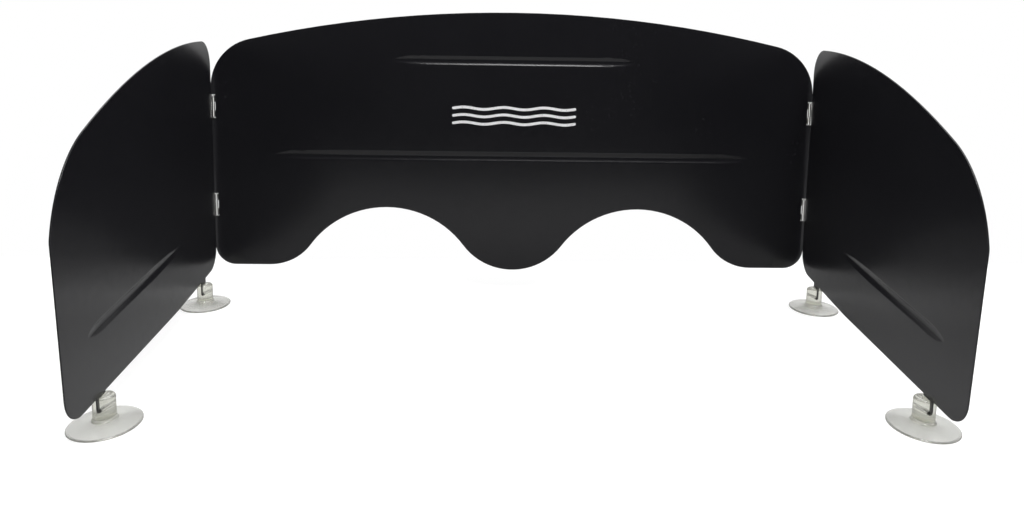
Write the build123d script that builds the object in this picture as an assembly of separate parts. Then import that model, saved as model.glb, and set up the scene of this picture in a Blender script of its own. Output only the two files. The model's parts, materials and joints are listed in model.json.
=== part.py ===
"""Folding windshield for a camping stove.

A wide steel back panel with two steel wings, each hung on two small butt
hinges, standing on four clear suction cups that hang on hooks cut in the
wings' lower edges.

Frame: +X to the right, +Y to the back, +Z up, floor at Z = 0, origin in the
middle of the footprint. The wings stand forward, towards -Y. Millimetres.
"""
from build123d import *
from math import acos, atan2, cos, degrees, sin, sqrt
import os

# ---------------------------------------------------------------- sheet
SHEET = 1.0               # thickness of all three panels
EDGE_ROUND = 0.25         # softened sheet edges
HINGE_SPAN = 600.0        # between the two hinge axes
HINGE_Y = 155.4           # hinge axes behind the origin
AXIS_GAP = 0.35           # inner faces of the panels behind the hinge axis
WING_FOLD = 96.2          # wings turned in from flat, in degrees, as it stands

# ---------------------------------------------------------------- back panel
BACK_TOP = 284.8          # highest point, in the middle
BACK_TOP_RADIUS = 1180.0
BACK_OVERHANG = 1.8       # side edge past the hinge axis
BACK_TOP_CORNER = 50.0
BACK_BOTTOM = 26.5
BACK_BOTTOM_CORNER = 20.0
SCALLOP_X = 128.0         # the two arches over the burners
SCALLOP_TOP = 87.3
SCALLOP_RADIUS = 96.5
SCALLOP_FOOT_RADIUS = 51.5
LOBE_RADIUS = 62.5        # rounded tongue between the arches

# ---------------------------------------------------------------- wings
WING_START = 3.0          # rear edge from the hinge axis
WING_BOTTOM = 22.4
WING_RISE_S = 118.0       # behind this the lower edge climbs to the hinge
WING_HEEL = 27.4          # height of the lower edge at the hinge end
WING_TOP = 252.2
WING_TOP_RADIUS = 600.0
WING_CREST = 13.0         # where the top curve is level, from the hinge axis
WING_SHOULDER = 268.0     # where the top curve tightens
WING_KNEE = (313.6, 137.5)  # where it meets the straight front edge
WING_TOE_S = 307.4        # the front edge, carried down to the bottom line
WING_REAR_TOP_CORNER = 24.0
WING_REAR_BOTTOM_CORNER = 22.0
WING_RISE_CORNER = 300.0
WING_KNEE_CORNER = 12.0
WING_TOE_CORNER = 19.0

# ---------------------------------------------------------------- grooves
GROOVE_WIDTH = 8.6        # pressed outwards into the sheet
GROOVE_DEPTH = 1.4
GROOVE_ROUND = 3.0        # rolled rims on the inner face, tighter by the sheet outside
GROOVE_OVERSHOOT = 1.2    # how far a groove's run-outs are carried past the sheet's face
PRESS_DEPTH = 20.0        # room under the sheet for the back of a groove
LEVEL = 0.01              # edges this close to a height lie on it
# each groove: its two tips, and how long it takes to reach its depth from each of them
BACK_GROOVES = (
    ((-122.0, 236.8), (122.0, 236.8), (35.0, 35.0)),
    ((-240.0, 140.4), (240.0, 140.4), (35.0, 35.0)),
)
WING_GROOVE = ((101.0, 75.1), (277.0, 67.0), (80.0, 25.0))

# ---------------------------------------------------------------- hinges
HINGE_CENTRES = {"upper": 188.2, "lower": 88.6}
HINGE_HEIGHT = 22.0
LEAF = 0.6                # thickness of a hinge leaf
LEAF_WIDTH = 14.0         # hinge axis to the leaf's free edge
LEAF_CORNER = 2.0
LEAF_RELIEF = 2.35        # leaf starts this far from the axis between knuckles
MIDDLE_KNUCKLE = 7.6
KNUCKLE_GAP = 0.3
RUNNING_CLEARANCE = 0.05  # radial, pin in the wing's knuckle
CURL_SEAM = 0.2           # gap where the rolled knuckle closes on its leaf
PIN_STICK_OUT = 0.4
NOTCH_MARGIN = 0.5        # back panel cut away above and below a hinge
NOTCH_EDGE = 2.3          # and this far in from the hinge axis
WELD_DIAMETER = 3.2
WELD_DEPTH = 0.12
WELD_X = 9.0              # spot welds from the hinge axis
WELD_PITCH = 12.0

# ---------------------------------------------------------------- cups and hooks
CUP_CENTRES = {"front": 259.7, "rear": 43.4}
CUP_RADIUS = 22.5
CUP_RIM = 2.0             # flat ring that touches the worktop
CUP_RIM_HEIGHT = 1.1
CUP_DISC_HEIGHT = 4.6     # upper face of the disc at the neck
CUP_HOLLOW = 2.2          # depth of the hollow under the disc
CUP_HOLLOW_FULLNESS = 0.73  # share of that depth left half way out
NECK_RADIUS = 7.0
NECK_TOP = 20.8
NECK_TOP_ROUND = 2.6
NECK_FOOT_ROUND = 1.8
HOOK_BAR = 3.0            # width of the hook's shank and toe
HOOK_TOE_Z = 12.5         # middle of the toe and of the hole in the neck
HOOK_SHANK = 8.75         # middle of the shank in front of the cup's axis
HOOK_TOE_END = -0.5       # end of the toe from the cup's axis
HOOK_ROOT_TOP = 34.0      # where the hook's outline is well inside the wing
HOOK_ROOT_BOTTOM = 21.2
HOOK_ROOT_REAR = -1.8     # rear end of the root tab from the cup's axis
HOLE_RADIUS = 1.55        # the soft neck grips the corners of the toe

KNUCKLE_BORE = AXIS_GAP + SHEET
KNUCKLE_RADIUS = KNUCKLE_BORE + LEAF
PIN_RADIUS = KNUCKLE_BORE - RUNNING_CLEARANCE


def arc(centre, radius, start, end):
    """The short way round a circle from start to end."""
    middle = centre + ((start + end) / 2 - centre).normalized() * radius
    return ThreePointArc(start, middle, end)


def touch(centre_a, radius_a, centre_b, radius_b):
    """Where two circles that touch from outside meet."""
    return centre_a + (centre_b - centre_a) * (radius_a / (radius_a + radius_b))


def back_outline():
    """Right half of the back panel's outline, mirrored, as a flat face in XY."""
    side = HINGE_SPAN / 2 + BACK_OVERHANG
    top_centre = Vector(0, BACK_TOP - BACK_TOP_RADIUS)
    inner_x = side - BACK_TOP_CORNER
    reach = BACK_TOP_RADIUS - BACK_TOP_CORNER
    corner_centre = Vector(inner_x, top_centre.Y + sqrt(reach**2 - inner_x**2))
    shoulder = top_centre + (corner_centre - top_centre) * (BACK_TOP_RADIUS / reach)

    scallop_centre = Vector(SCALLOP_X, SCALLOP_TOP - SCALLOP_RADIUS)
    foot_y = BACK_BOTTOM + SCALLOP_FOOT_RADIUS
    foot_reach = SCALLOP_RADIUS + SCALLOP_FOOT_RADIUS
    foot_rise = foot_y - scallop_centre.Y
    foot_centre = Vector(SCALLOP_X + sqrt(foot_reach**2 - foot_rise**2), foot_y)
    lobe_rise = sqrt((SCALLOP_RADIUS + LOBE_RADIUS) ** 2 - SCALLOP_X**2)
    lobe_centre = Vector(0, scallop_centre.Y + lobe_rise)
    foot_touch = touch(scallop_centre, SCALLOP_RADIUS, foot_centre, SCALLOP_FOOT_RADIUS)
    lobe_touch = touch(scallop_centre, SCALLOP_RADIUS, lobe_centre, LOBE_RADIUS)

    low_corner = Vector(side - BACK_BOTTOM_CORNER, BACK_BOTTOM + BACK_BOTTOM_CORNER)
    apex = Vector(0, BACK_TOP)
    side_top = Vector(side, corner_centre.Y)
    side_bottom = Vector(side, low_corner.Y)
    flat_outer = Vector(low_corner.X, BACK_BOTTOM)
    flat_inner = Vector(foot_centre.X, BACK_BOTTOM)
    tongue = lobe_centre - Vector(0, LOBE_RADIUS)
    half = [
        arc(top_centre, BACK_TOP_RADIUS, apex, shoulder),
        arc(corner_centre, BACK_TOP_CORNER, shoulder, side_top),
        Line(side_top, side_bottom),
        arc(low_corner, BACK_BOTTOM_CORNER, side_bottom, flat_outer),
        Line(flat_outer, flat_inner),
        arc(foot_centre, SCALLOP_FOOT_RADIUS, flat_inner, foot_touch),
        arc(scallop_centre, SCALLOP_RADIUS, foot_touch, lobe_touch),
        arc(lobe_centre, LOBE_RADIUS, lobe_touch, tongue),
    ]
    other_half = [mirror(edge, about=Plane.YZ) for edge in half]
    return make_face(half + other_half)


def wing_outline():
    """Wing's outline without its hooks, hinge axis at x = 0, floor at y = 0."""
    top_centre = Vector(WING_CREST, WING_TOP - WING_TOP_RADIUS)

    def on_top(x):
        return Vector(x, top_centre.Y + sqrt(WING_TOP_RADIUS**2 - (x - WING_CREST) ** 2))

    shoulder = on_top(WING_SHOULDER)
    rear_top = on_top(WING_START)
    radial = shoulder - top_centre
    knee = Vector(*WING_KNEE)
    toe = Vector(WING_TOE_S, WING_BOTTOM)
    rise = Vector(WING_RISE_S, WING_BOTTOM)
    heel = Vector(WING_START, WING_HEEL)
    lines = [
        arc(top_centre, WING_TOP_RADIUS, rear_top, shoulder),
        TangentArc(shoulder, knee, tangent=(radial.Y, -radial.X)),
        Line(knee, toe),
        Line(toe, rise),
        Line(rise, heel),
        Line(heel, rear_top),
    ]
    face = make_face(lines)
    corners = (
        (rear_top, WING_REAR_TOP_CORNER),
        (knee, WING_KNEE_CORNER),
        (toe, WING_TOE_CORNER),
        (rise, WING_RISE_CORNER),
        (heel, WING_REAR_BOTTOM_CORNER),
    )
    for point, radius in corners:
        vertex = face.vertices().sort_by_distance(point)[0]
        face = fillet(vertex, radius)
    return face


def hook_outline(cup_s):
    """Root tab, shank and toe of the hook that carries one suction cup."""
    shank_s = cup_s + HOOK_SHANK
    root_front = shank_s + HOOK_BAR / 2
    root_rear = cup_s + HOOK_ROOT_REAR
    centre_line = FilletPolyline(
        (shank_s, HOOK_ROOT_TOP),
        (shank_s, HOOK_TOE_Z),
        (cup_s + HOOK_TOE_END, HOOK_TOE_Z),
        radius=HOOK_BAR,
    )
    bar = trace(centre_line, HOOK_BAR)
    root_middle = Pos((root_front + root_rear) / 2, (HOOK_ROOT_TOP + HOOK_ROOT_BOTTOM) / 2)
    root = root_middle * Rectangle(root_front - root_rear, HOOK_ROOT_TOP - HOOK_ROOT_BOTTOM)
    return bar + root


def groove_form(length, run_outs, offset):
    """Body of revolution along X that presses a groove whose tips are at 0 and length."""
    radius = (GROOVE_WIDTH**2 / 4 + GROOVE_DEPTH**2) / (2 * GROOVE_DEPTH)
    curves = []
    ends = ((run_outs[0], run_outs[0], -1), (run_outs[1], length - run_outs[1], 1))
    for run_out, flat_end, way in ends:
        bend = run_out**2 / (2 * GROOVE_DEPTH)
        turn = acos(1 - (GROOVE_DEPTH + GROOVE_OVERSHOOT) / bend)
        centre = Vector(flat_end, radius - bend)
        points = [
            centre + Vector(way * sin(angle), cos(angle)) * (bend + offset)
            for angle in (0, turn / 2, turn)
        ]
        curves.append(points)
    (start_flat, _, start_end), (end_flat, _, end_end) = curves
    face = make_face([
        ThreePointArc(*curves[0]),
        Line(start_flat, end_flat),
        ThreePointArc(*curves[1]),
        Line(end_end, (end_end.X, 0)),
        Line((end_end.X, 0), (start_end.X, 0)),
        Line((start_end.X, 0), start_end),
    ])
    return Pos(0, 0, radius - GROOVE_DEPTH) * revolve(face, axis=Axis.X)


def press_groove(panel, start, end, run_outs):
    """Press one round-bottomed groove out of the sheet, in even thickness."""
    start, end = Vector(*start), Vector(*end)
    length = (end - start).length
    slant = degrees(atan2(end.Y - start.Y, end.X - start.X))
    place = Pos(start.X, start.Y, -AXIS_GAP) * Rot(Z=slant)
    under = Pos(length / 2, 0, -SHEET / 2) * Box(
        2 * length, 2 * length, PRESS_DEPTH, align=(Align.CENTER, Align.CENTER, Align.MAX)
    )
    panel += place * (groove_form(length, run_outs, SHEET) & under)
    panel -= place * groove_form(length, run_outs, 0)
    for height, radius in ((0, GROOVE_ROUND), (-SHEET, GROOVE_ROUND - SHEET)):
        level = height - AXIS_GAP
        rim = panel.edges().filter_by_position(Axis.Z, level - LEVEL, level + LEVEL)
        rim = rim.filter_by_position(Axis.X, start.X - GROOVE_WIDTH, end.X + GROOVE_WIDTH)
        low, high = sorted((start.Y, end.Y))
        rim = rim.filter_by_position(Axis.Y, low - GROOVE_WIDTH, high + GROOVE_WIDTH)
        panel = fillet(rim, radius)
    return panel


def sheet_panel(face, grooves):
    """Sheet behind the hinge axis plane: inner face up (+Z), lying in XY."""
    plate = Pos(0, 0, -AXIS_GAP) * extrude(face, amount=-SHEET)
    rims = plate.faces().filter_by(Axis.Z).edges()
    plate = fillet(rims, EDGE_ROUND)
    for start, end, run_outs in grooves:
        plate = press_groove(plate, start, end, run_outs)
    return plate


def back_panel():
    """Back panel lying in XY, with the four notches for the hinge barrels."""
    face = back_outline()
    notch_depth = BACK_OVERHANG + NOTCH_EDGE
    notch = Rectangle(2 * notch_depth, HINGE_HEIGHT + 2 * NOTCH_MARGIN)
    for side in (-1, 1):
        for centre in HINGE_CENTRES.values():
            face -= Pos(side * (HINGE_SPAN / 2 + BACK_OVERHANG), centre) * notch
    return sheet_panel(face, BACK_GROOVES)


def wing_panel():
    """Wing lying in XY with its two hooks."""
    face = wing_outline()
    for cup_s in CUP_CENTRES.values():
        face += hook_outline(cup_s)
    return sheet_panel(face, (WING_GROOVE,))


def hinge_leaf(knuckles):
    """Leaf along +X from the axis at the origin, outer side +Y, rolled knuckles."""
    plate_width = LEAF_WIDTH - LEAF_RELIEF
    plate = Pos(LEAF_RELIEF + plate_width / 2, KNUCKLE_BORE + LEAF / 2) * Box(
        plate_width, LEAF, HINGE_HEIGHT
    )
    far_corners = plate.edges().filter_by(Axis.Y).group_by(Axis.X)[-1]
    leaf = fillet(far_corners, LEAF_CORNER)
    for low, high in knuckles:
        at = Pos(0, 0, (low + high) / 2)
        length = high - low
        strap = Pos(LEAF_RELIEF / 2, KNUCKLE_BORE + LEAF / 2) * Box(LEAF_RELIEF, LEAF, length)
        leaf += at * (strap + Cylinder(KNUCKLE_RADIUS, length))
    leaf -= Cylinder(KNUCKLE_BORE, 2 * HINGE_HEIGHT)
    seam_width = LEAF_RELIEF - KNUCKLE_BORE / 2
    leaf -= Pos(LEAF_RELIEF - seam_width / 2, KNUCKLE_BORE - CURL_SEAM / 2) * Box(
        seam_width, CURL_SEAM, HINGE_HEIGHT
    )
    weld = Rot(X=90) * Cylinder(WELD_DIAMETER / 2, 2 * WELD_DEPTH)
    for side in (-1, 1):
        leaf -= Pos(WELD_X, KNUCKLE_RADIUS, side * WELD_PITCH / 2) * weld
    return leaf


def hinge_pin():
    """Pin that runs free in the wing's knuckle and is swaged tight in the other two."""
    pin = Cylinder(KNUCKLE_BORE, HINGE_HEIGHT + 2 * PIN_STICK_OUT)
    pin = fillet(pin.edges(), PIN_STICK_OUT)
    free_length = MIDDLE_KNUCKLE + 2 * KNUCKLE_GAP
    waist = Cylinder(KNUCKLE_RADIUS, free_length) - Cylinder(PIN_RADIUS, free_length)
    return pin - waist


def hinge_knuckles():
    """Height bands of the back leaf's two knuckles and of the wing leaf's one."""
    half = HINGE_HEIGHT / 2
    middle = MIDDLE_KNUCKLE / 2
    edge = middle + KNUCKLE_GAP
    return ((-half, -edge), (edge, half)), ((-middle, middle),)


def suction_cup():
    """Clear cup on the floor, its neck cross-drilled along X for the hook."""
    rim_inner = CUP_RADIUS - CUP_RIM
    soft = CUP_RIM_HEIGHT / 3
    hollow = ThreePointArc(
        (0, CUP_HOLLOW), (rim_inner / 2, CUP_HOLLOW * CUP_HOLLOW_FULLNESS), (rim_inner, 0)
    )
    edge_top = (CUP_RADIUS - soft, CUP_RIM_HEIGHT)
    neck_foot = (NECK_RADIUS, CUP_DISC_HEIGHT)
    lines = [
        hollow,
        Line((rim_inner, 0), (CUP_RADIUS - soft, 0)),
        Line((CUP_RADIUS - soft, 0), (CUP_RADIUS, soft)),
        Line((CUP_RADIUS, soft), (CUP_RADIUS, CUP_RIM_HEIGHT - soft)),
        Line((CUP_RADIUS, CUP_RIM_HEIGHT - soft), edge_top),
        Line(edge_top, neck_foot),
        Line(neck_foot, (NECK_RADIUS, NECK_TOP)),
        Line((NECK_RADIUS, NECK_TOP), (0, NECK_TOP)),
        Line((0, NECK_TOP), (0, CUP_HOLLOW)),
    ]
    face = make_face(lines)
    for point, radius in ((neck_foot, NECK_FOOT_ROUND), ((NECK_RADIUS, NECK_TOP), NECK_TOP_ROUND)):
        vertex = face.vertices().sort_by_distance(point)[0]
        face = fillet(vertex, radius)
    cup = revolve(Plane.XZ * face, axis=Axis.Z)
    hole = Pos(0, 0, HOOK_TOE_Z) * Rot(Y=90) * Cylinder(HOLE_RADIUS, 2 * CUP_RADIUS)
    return cup - hole


def right_side():
    """Everything that belongs to the right-hand wing and its two hinges."""
    axis = Pos(HINGE_SPAN / 2, HINGE_Y, 0)
    wing = axis * Rot(Z=-WING_FOLD)
    parts = {"wing_panel": wing * Rot(X=90) * wing_panel()}
    back_knuckles, wing_knuckles = hinge_knuckles()
    for level, centre in HINGE_CENTRES.items():
        height = Pos(0, 0, centre)
        back_leaf = mirror(hinge_leaf(back_knuckles), about=Plane.YZ)
        parts[f"{level}_hinge_back_leaf"] = axis * height * back_leaf
        parts[f"{level}_hinge_wing_leaf"] = wing * height * hinge_leaf(wing_knuckles)
        parts[f"{level}_hinge_pin"] = axis * height * hinge_pin()
    sheet_middle = AXIS_GAP + SHEET / 2
    for place, cup_s in CUP_CENTRES.items():
        parts[f"{place}_suction_cup"] = wing * Pos(cup_s, sheet_middle, 0) * suction_cup()
    return parts


def all_parts():
    parts = {"back_panel": Pos(0, HINGE_Y, 0) * Rot(X=90) * back_panel()}
    for name, shape in right_side().items():
        parts[f"right_{name}"] = shape
        parts[f"left_{name}"] = mirror(shape, about=Plane.YZ)
    return parts


os.makedirs("parts", exist_ok=True)
for name, shape in all_parts().items():
    export_step(shape, f"parts/{name}.step")
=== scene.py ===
"""Looks for the folding stove windshield: black powder-coated sheet, bright
plated hinges, clear soft cups and a plain white printed mark. Metres.
"""
import json
import math

import bmesh
import bpy
from mathutils import Matrix, Vector

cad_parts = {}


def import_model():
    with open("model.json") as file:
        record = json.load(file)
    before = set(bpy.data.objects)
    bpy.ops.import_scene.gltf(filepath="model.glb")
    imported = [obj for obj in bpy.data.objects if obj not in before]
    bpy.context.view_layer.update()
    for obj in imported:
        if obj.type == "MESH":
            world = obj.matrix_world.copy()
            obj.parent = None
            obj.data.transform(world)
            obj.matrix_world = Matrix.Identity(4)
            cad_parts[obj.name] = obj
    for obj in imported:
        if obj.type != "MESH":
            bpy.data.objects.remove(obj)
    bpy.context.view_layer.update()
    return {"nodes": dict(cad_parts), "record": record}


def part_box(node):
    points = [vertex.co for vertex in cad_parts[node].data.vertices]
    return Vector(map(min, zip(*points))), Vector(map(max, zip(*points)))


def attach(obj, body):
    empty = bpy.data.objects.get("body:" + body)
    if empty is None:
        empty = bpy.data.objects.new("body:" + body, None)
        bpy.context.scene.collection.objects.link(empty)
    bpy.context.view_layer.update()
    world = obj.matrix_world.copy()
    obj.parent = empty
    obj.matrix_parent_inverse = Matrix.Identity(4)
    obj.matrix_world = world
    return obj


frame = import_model()

SCENE = bpy.context.scene

# Camera. It stands in front of the back panel's front face.
CAMERA_DISTANCE = 0.6963
CAMERA_HEIGHT = 0.2489
CAMERA_X = -0.018
CAMERA_YAW = math.radians(1.32)
CAMERA_PITCH = math.radians(-6.64)
CAMERA_ROLL = math.radians(0.85)
CAMERA_LENS = 24.44
CAMERA_SENSOR = 36.0
CAMERA_SHIFT = -0.12

# Printed mark: wavy wind lines on the back panel's front face
MARK_HALF_WIDTH = 0.061
MARK_LEVELS = (0.1745, 0.1820, 0.1895)
MARK_LINE = 0.0027          # width of a line
MARK_WAVE = 0.0011          # height of a wave above the line's level
MARK_WAVES = 3
MARK_STEPS = 96
MARK_CAP_STEPS = 10
MARK_PROUD = 0.00006        # ink in front of the sheet
MARK_SUNK = 0.00004         # and behind its face, so that no gap shows

# Finishes. A noise is (scale per metre, detail) and a bump is (strength, distance).
WHITE = (1.0, 1.0, 1.0)
WHOLE = (0.0, 1.0)
MIDRANGE = (0.3, 0.7)       # where most of a noise's values lie

COAT_TONES = ((0.0080, 0.0079, 0.0096), (0.0100, 0.0099, 0.0117))
COAT_ROUGHNESS = (0.21, 0.26)
COAT_MOTTLE = (9.0, 2.0)
COAT_PEEL = (1100.0, 2.0)
COAT_WAVE = (160.0, 2.0)
COAT_WAVE_BUMP = (0.03, 0.0002)
COAT_PEEL_BUMP = (0.045, 0.00005)

DUST = (0.034, 0.034, 0.036)
DUST_GRAINS = (620.0, 0.0)
DUST_GRAIN_EDGES = (0.78, 0.83)
DUST_PATCHES = (17.0, 1.0)
DUST_PATCH_EDGES = (0.58, 0.80)

STEEL_TONES = ((0.80, 0.79, 0.77), (0.88, 0.875, 0.86))
STEEL_ROUGHNESS = (0.10, 0.15)
STEEL_CLOUD = (220.0, 3.0)
STEEL_STRETCH = (400, 400, 6000)
STEEL_LINES = (1.0, 4.0, 0.7)  # in the stretched coordinates, with more fine detail
STEEL_BUMP = (0.05, 0.00004)

VINYL_TONES = ((0.71, 0.712, 0.69), (0.77, 0.77, 0.75))
VINYL_TONE_EDGES = (0.25, 0.75)
VINYL_ROUGHNESS = (0.19, 0.23)
VINYL_CLOUD = (240.0, 3.0)
VINYL_HAZE = (900.0, 2.0)
VINYL_HAZE_BUMP = (0.03, 0.00005)
VINYL_TRANSMISSION = 0.86
VINYL_IOR = 1.48
VINYL_TINT = (0.60, 0.61, 0.40)
VINYL_DENSITY = 26.0

INK_TONES = ((0.30, 0.30, 0.31), (0.93, 0.93, 0.94))  # in a pinhole and where it covers
INK_ROUGHNESS = (0.35, 0.55)
INK_COVER = (900.0, 2.0)
INK_COVER_EDGES = (0.28, 0.36)
INK_GRAIN = (1400.0, 2.0)
INK_GRAIN_BUMP = (0.2, 0.00002)

# Floor
FLOOR_LOW = (-0.95, -0.42)
FLOOR_HIGH = (0.95, 0.26)
FLOOR_DROP = 0.0003         # below the cups
FLOOR_GLOW = 0.74           # to the eye and through clear plastic only
FLOOR_SHADE_TONES = (0.38, 0.35)  # towards the front and the back: painted shade, darker behind as if the front lights fell off
FLOOR_FADE = (-0.10, 0.08)  # Y where one turns into the other
FLOOR_CLOUD = (3.0, 2.0)
FLOOR_CLOUD_TONES = (0.97, 1.03)
FLOOR_ROUGHNESS = 0.8

# Softboxes: name, place, what it points at, size, watts
SOFTBOXES = (
    ("softbox_top", (0.25, -0.1, 1.8), (0, 0, 0), (1.8, 1.8), 22.0),
    ("softbox_key", (0.22, -0.75, 1.75), (0, 0.1, 0.2), (0.9, 0.6), 26.0),
    ("softbox_back", (-0.3, 1.1, 2.1), (0, 0.1, 0.1), (1.4, 0.8), 14.0),
)
SIDE_LIGHT_SIZE = (0.6, 0.9)
SIDE_LIGHT_DISTANCE = 1.5
SIDE_LIGHT_HEIGHT = 0.30
SIDE_LIGHT_AZIMUTH = math.radians(62)
SIDE_LIGHT_POWER = 7.5

# Room: a glowing backdrop in directions behind the object, dark elsewhere
STUDIO_DARK = 0.02
BACKDROP_GLOW = 1.0
BACKDROP_EDGES = (0.25, 0.6)
HORIZON_EDGES = (-0.02, 0.02)
FAR_FLOOR_GLOW = 0.10       # share of the backdrop's glow that its floor has


# ------------------------------------------------------------ node helpers
class Nodes:
    """A node tree, with short calls for the nodes used here."""

    def __init__(self, tree):
        self.tree = tree

    def node(self, kind, **values):
        """New node; each value goes to the input of that name, or else to the setting."""
        made = self.tree.nodes.new(kind)
        for key, value in values.items():
            if key in made.inputs:
                made.inputs[key].default_value = value
            else:
                setattr(made, key, value)
        return made

    def link(self, source, target):
        self.tree.links.new(source, target)

    def spread(self, fac, edges, values=WHOLE, curve="LINEAR"):
        """Map a factor from one range of values to another, and no further."""
        made = self.node("ShaderNodeMapRange", interpolation_type=curve)
        made.inputs["From Min"].default_value, made.inputs["From Max"].default_value = edges
        made.inputs["To Min"].default_value, made.inputs["To Max"].default_value = values
        self.link(fac, made.inputs["Value"])
        return made.outputs["Result"]

    def math(self, operation, a, b):
        made = self.node("ShaderNodeMath", operation=operation)
        self.link(a, made.inputs[0])
        self.link(b, made.inputs[1])
        return made.outputs["Value"]

    def seen(self):
        """1 for what the eye sees directly or through clear plastic, 0 for other light."""
        rays = self.node("ShaderNodeLightPath").outputs
        return self.math("MAXIMUM", rays["Is Camera Ray"], rays["Is Transmission Ray"])


class Shader(Nodes):
    """A material's node tree, around its Principled shader."""

    def __init__(self, name):
        self.material = bpy.data.materials.new(name)
        self.material.use_nodes = True
        super().__init__(self.material.node_tree)
        self.inputs = self.tree.nodes["Principled BSDF"].inputs
        self.output = self.tree.nodes["Material Output"]

    def feed(self, **sources):
        """Link outputs to the Principled shader; an underscore stands for a space."""
        for key, source in sources.items():
            self.link(source, self.inputs[key.replace("_", " ")])

    def place(self, scale=(1, 1, 1)):
        """Object coordinates in metres, stretched."""
        coordinates = self.node("ShaderNodeTexCoord")
        mapping = self.node("ShaderNodeMapping", Scale=scale)
        self.link(coordinates.outputs["Object"], mapping.inputs["Vector"])
        return mapping.outputs["Vector"]

    def noise(self, place, scale, detail, roughness=0.5):
        made = self.node("ShaderNodeTexNoise", Scale=scale, Detail=detail, Roughness=roughness)
        self.link(place, made.inputs["Vector"])
        return made.outputs["Fac"]

    def ramp(self, fac, edges, colours):
        """Turn a factor into a colour between two."""
        made = self.node("ShaderNodeValToRGB")
        for element, position, colour in zip(made.color_ramp.elements, edges, colours):
            element.position = position
            element.color = (*colour, 1.0)
        self.link(fac, made.inputs["Fac"])
        return made.outputs["Color"]

    def blend(self, fac, colour, other):
        """Fade a colour output towards one fixed colour."""
        made = self.node("ShaderNodeMix", data_type="RGBA")
        mixing = [socket for socket in made.inputs if socket.enabled]
        self.link(fac, mixing[0])
        self.link(colour, mixing[1])
        mixing[2].default_value = (*other, 1.0)
        return next(socket for socket in made.outputs if socket.enabled)

    def bump(self, height, strength, distance, normal=None):
        made = self.node("ShaderNodeBump", Strength=strength, Distance=distance)
        self.link(height, made.inputs["Height"])
        if normal is not None:
            self.link(normal, made.inputs["Normal"])
        return made.outputs["Normal"]


# ------------------------------------------------------------ materials
def powder_coat():
    """Semi-gloss black powder coat: fine orange peel, faint mottling, a little dust."""
    s = Shader("powder_coat_finish")
    place = s.place()
    coat = s.ramp(s.noise(place, *COAT_MOTTLE), MIDRANGE, COAT_TONES)
    peel = s.noise(place, *COAT_PEEL)
    wave = s.noise(place, *COAT_WAVE)
    grains = s.spread(s.noise(place, *DUST_GRAINS), DUST_GRAIN_EDGES)
    patches = s.spread(s.noise(place, *DUST_PATCHES), DUST_PATCH_EDGES)
    dust = s.math("MULTIPLY", grains, patches)
    uneven = s.bump(wave, *COAT_WAVE_BUMP)
    s.feed(
        Base_Color=s.blend(dust, coat, DUST),
        Roughness=s.spread(wave, MIDRANGE, COAT_ROUGHNESS),
        Normal=s.bump(peel, *COAT_PEEL_BUMP, uneven),
    )
    return s.material


def hinge_steel():
    """Bright nickel-plated steel with faint drawing lines, level across the leaves."""
    s = Shader("hinge_steel_finish")
    lines = s.noise(s.place(STEEL_STRETCH), *STEEL_LINES)
    cloud = s.noise(s.place(), *STEEL_CLOUD)
    s.feed(
        Base_Color=s.ramp(cloud, MIDRANGE, STEEL_TONES),
        Roughness=s.spread(lines, MIDRANGE, STEEL_ROUGHNESS),
        Normal=s.bump(lines, *STEEL_BUMP),
    )
    s.inputs["Metallic"].default_value = 1.0
    return s.material


def clear_vinyl():
    """Soft clear PVC: frosted by handling, a little milky, greenish where it is thick."""
    s = Shader("clear_vinyl_finish")
    place = s.place()
    cloud = s.noise(place, *VINYL_CLOUD)
    haze = s.noise(place, *VINYL_HAZE)
    s.feed(
        Base_Color=s.ramp(cloud, VINYL_TONE_EDGES, VINYL_TONES),
        Roughness=s.spread(cloud, MIDRANGE, VINYL_ROUGHNESS),
        Normal=s.bump(haze, *VINYL_HAZE_BUMP),
    )
    s.inputs["Transmission Weight"].default_value = VINYL_TRANSMISSION
    s.inputs["IOR"].default_value = VINYL_IOR
    tint = s.node("ShaderNodeVolumeAbsorption", Density=VINYL_DENSITY, Color=(*VINYL_TINT, 1.0))
    s.link(tint.outputs["Volume"], s.output.inputs["Volume"])
    return s.material


def white_ink():
    """Screen-printed white: a thin matt layer that shows the coat in pinholes."""
    s = Shader("white_print_finish")
    place = s.place()
    cover = s.spread(s.noise(place, *INK_COVER), INK_COVER_EDGES)
    s.feed(
        Base_Color=s.ramp(cover, WHOLE, INK_TONES),
        Roughness=s.spread(cover, WHOLE, INK_ROUGHNESS),
        Normal=s.bump(s.noise(place, *INK_GRAIN), *INK_GRAIN_BUMP),
    )
    return s.material


def floor_material():
    """White to the eye; the panels see a duller table that darkens a little towards the back, a
    painted shade for the front lights' falloff.
    """
    s = Shader("studio_floor")
    axes = s.node("ShaderNodeSeparateXYZ")
    s.link(s.place(), axes.inputs["Vector"])
    # painted shade: the table's tone drops towards the back in place of the front lights'
    # falloff
    painted_falloff = s.spread(axes.outputs["Y"], FLOOR_FADE, FLOOR_SHADE_TONES)
    cloud = s.spread(s.noise(s.place(), *FLOOR_CLOUD), MIDRANGE, FLOOR_CLOUD_TONES)
    s.feed(
        Base_Color=s.math("MULTIPLY", painted_falloff, cloud),
        Emission_Strength=s.spread(s.seen(), WHOLE, (0.0, FLOOR_GLOW)),
    )
    s.inputs["Roughness"].default_value = FLOOR_ROUGHNESS
    s.inputs["Specular IOR Level"].default_value = 0.0
    s.inputs["Emission Color"].default_value = (*WHITE, 1.0)
    return s.material


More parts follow.
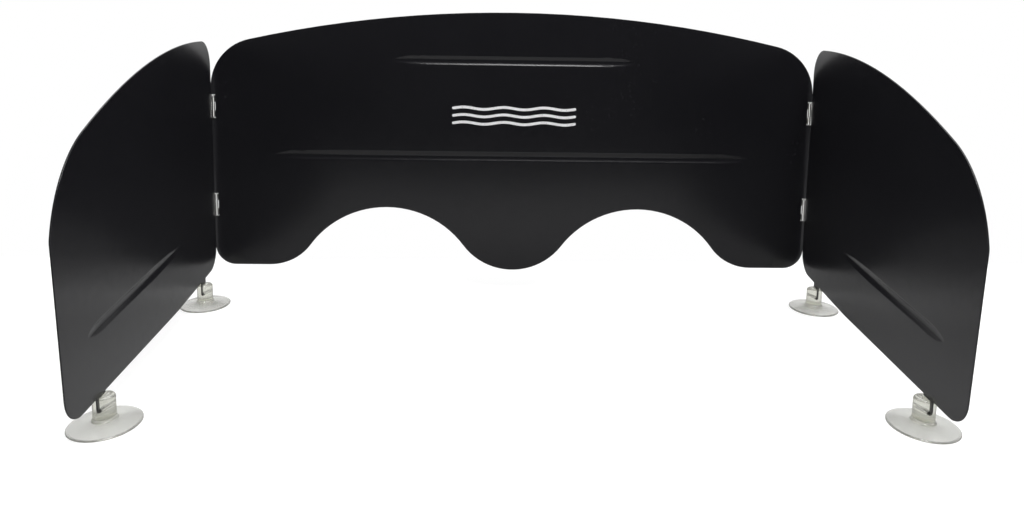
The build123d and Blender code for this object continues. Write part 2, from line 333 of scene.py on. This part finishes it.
# ------------------------------------------------------------ pieces
def wave_outline(level):
    """Round-ended wavy stroke around one level, as (x, z) points."""
    middle = []
    for step in range(MARK_STEPS + 1):
        part = step / MARK_STEPS
        x = MARK_HALF_WIDTH * (2 * part - 1)
        z = level + MARK_WAVE * math.sin(2 * math.pi * MARK_WAVES * part)
        middle.append(Vector((x, z)))
    above, below = [], []
    for index, point in enumerate(middle):
        before = middle[max(index - 1, 0)]
        after = middle[min(index + 1, MARK_STEPS)]
        along = (after - before).normalized()
        across = Vector((-along.y, along.x)) * MARK_LINE / 2
        above.append(point + across)
        below.append(point - across)
    right_cap = round_cap(middle[-1], below[-1])
    left_cap = round_cap(middle[0], above[0])
    return below + right_cap + above[::-1] + left_cap


def round_cap(centre, start):
    """Points of the half circle that ends a stroke, without its two ends."""
    arm = start - centre
    points = []
    for step in range(1, MARK_CAP_STEPS):
        turn = Matrix.Rotation(math.pi * step / MARK_CAP_STEPS, 2)
        points.append(centre + turn @ arm)
    return points


def wind_mark():
    """Three wavy lines of ink, a hair thick, on the back panel's front face."""
    face_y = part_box("back_panel")[0].y
    shape = bmesh.new()
    for level in MARK_LEVELS:
        outline = wave_outline(level)
        front = [shape.verts.new((x, face_y - MARK_PROUD, z)) for x, z in outline]
        rear = [shape.verts.new((x, face_y + MARK_SUNK, z)) for x, z in outline]
        shape.faces.new(front)
        shape.faces.new(rear[::-1])
        for index in range(len(outline)):
            follow = (index + 1) % len(outline)
            shape.faces.new((front[follow], front[index], rear[index], rear[follow]))
    bmesh.ops.triangulate(shape, faces=shape.faces[:])
    bmesh.ops.recalc_face_normals(shape, faces=shape.faces[:])
    mesh = bpy.data.meshes.new("wind_mark")
    shape.to_mesh(mesh)
    shape.free()
    mesh.materials.append(white_ink())
    made = bpy.data.objects.new("wind_mark", mesh)
    SCENE.collection.objects.link(made)
    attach(made, "screen_back")


def dress_cad_nodes():
    """Give every CAD node the material of its record slot."""
    made = {
        "black_powder_coat": powder_coat(),
        "bright_hinge_steel": hinge_steel(),
        "clear_soft_plastic": clear_vinyl(),
    }
    for part in frame["record"]["subparts"]:
        node = frame["nodes"][part["node"]]
        for slot in node.material_slots:
            slot.material = made[part["material_slot"]]


# ------------------------------------------------------------ studio
def floor():
    """A plain white light table a little wider than the object."""
    mesh = bpy.data.meshes.new("studio_floor")
    (x0, y0), (x1, y1) = FLOOR_LOW, FLOOR_HIGH
    corners = [(x, y, -FLOOR_DROP) for x, y in ((x0, y0), (x1, y0), (x1, y1), (x0, y1))]
    mesh.from_pydata(corners, [], [(0, 1, 2, 3)])
    mesh.materials.append(floor_material())
    made = bpy.data.objects.new("studio_floor", mesh)
    SCENE.collection.objects.link(made)


def area_light(name, place, target, size, power):
    """Softbox that lights and reflects, but isn't seen itself or through clear plastic."""
    data = bpy.data.lights.new(name, "AREA")
    data.shape = "RECTANGLE"
    data.size, data.size_y = size
    data.energy = power
    made = bpy.data.objects.new(name, data)
    made.location = place
    made.rotation_mode = "QUATERNION"
    made.rotation_quaternion = (Vector(target) - Vector(place)).to_track_quat("-Z", "Y")
    made.visible_camera = False
    made.visible_transmission = False
    SCENE.collection.objects.link(made)


def lights():
    for name, place, target, size, power in SOFTBOXES:
        area_light(name, place, target, size, power)
    for name, side in (("softbox_left", -1), ("softbox_right", 1)):
        x = side * SIDE_LIGHT_DISTANCE * math.sin(SIDE_LIGHT_AZIMUTH)
        y = -SIDE_LIGHT_DISTANCE * math.cos(SIDE_LIGHT_AZIMUTH)
        place = (x, y, SIDE_LIGHT_HEIGHT)
        target = (0, 0, SIDE_LIGHT_HEIGHT)
        area_light(name, place, target, SIDE_LIGHT_SIZE, SIDE_LIGHT_POWER)


def world():
    """White to the eye; light and reflections get a white backdrop and a dim room."""
    made = bpy.data.worlds.new("studio")
    made.use_nodes = True
    made.node_tree.nodes.clear()
    w = Nodes(made.node_tree)
    axes = w.node("ShaderNodeSeparateXYZ")
    w.link(w.node("ShaderNodeTexCoord").outputs["Generated"], axes.inputs["Vector"])
    behind = w.spread(axes.outputs["Y"], BACKDROP_EDGES, curve="SMOOTHSTEP")
    above = w.spread(axes.outputs["Z"], HORIZON_EDGES, (FAR_FLOOR_GLOW, 1.0), "SMOOTHSTEP")
    backdrop = w.math("MULTIPLY", behind, above)
    glow = w.spread(backdrop, WHOLE, (STUDIO_DARK, BACKDROP_GLOW))
    background = w.node("ShaderNodeBackground", Color=(*WHITE, 1.0))
    output = w.node("ShaderNodeOutputWorld")
    w.link(w.math("MAXIMUM", w.seen(), glow), background.inputs["Strength"])
    w.link(background.outputs["Background"], output.inputs["Surface"])
    SCENE.world = made


def camera():
    data = bpy.data.cameras.new("camera")
    data.sensor_width = CAMERA_SENSOR
    data.lens = CAMERA_LENS
    data.shift_y = CAMERA_SHIFT
    made = bpy.data.objects.new("camera", data)
    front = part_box("back_panel")[0].y
    turn = (
        Matrix.Rotation(-CAMERA_YAW, 4, "Z")
        @ Matrix.Rotation(math.pi / 2 + CAMERA_PITCH, 4, "X")
        @ Matrix.Rotation(CAMERA_ROLL, 4, "Z")
    )
    place = (CAMERA_X, front - CAMERA_DISTANCE, CAMERA_HEIGHT)
    made.matrix_world = Matrix.Translation(place) @ turn
    SCENE.collection.objects.link(made)
    SCENE.camera = made
    SCENE.view_settings.view_transform = "Standard"
    SCENE.view_settings.look = "None"


camera()
world()
lights()
floor()
dress_cad_nodes()
wind_mark()
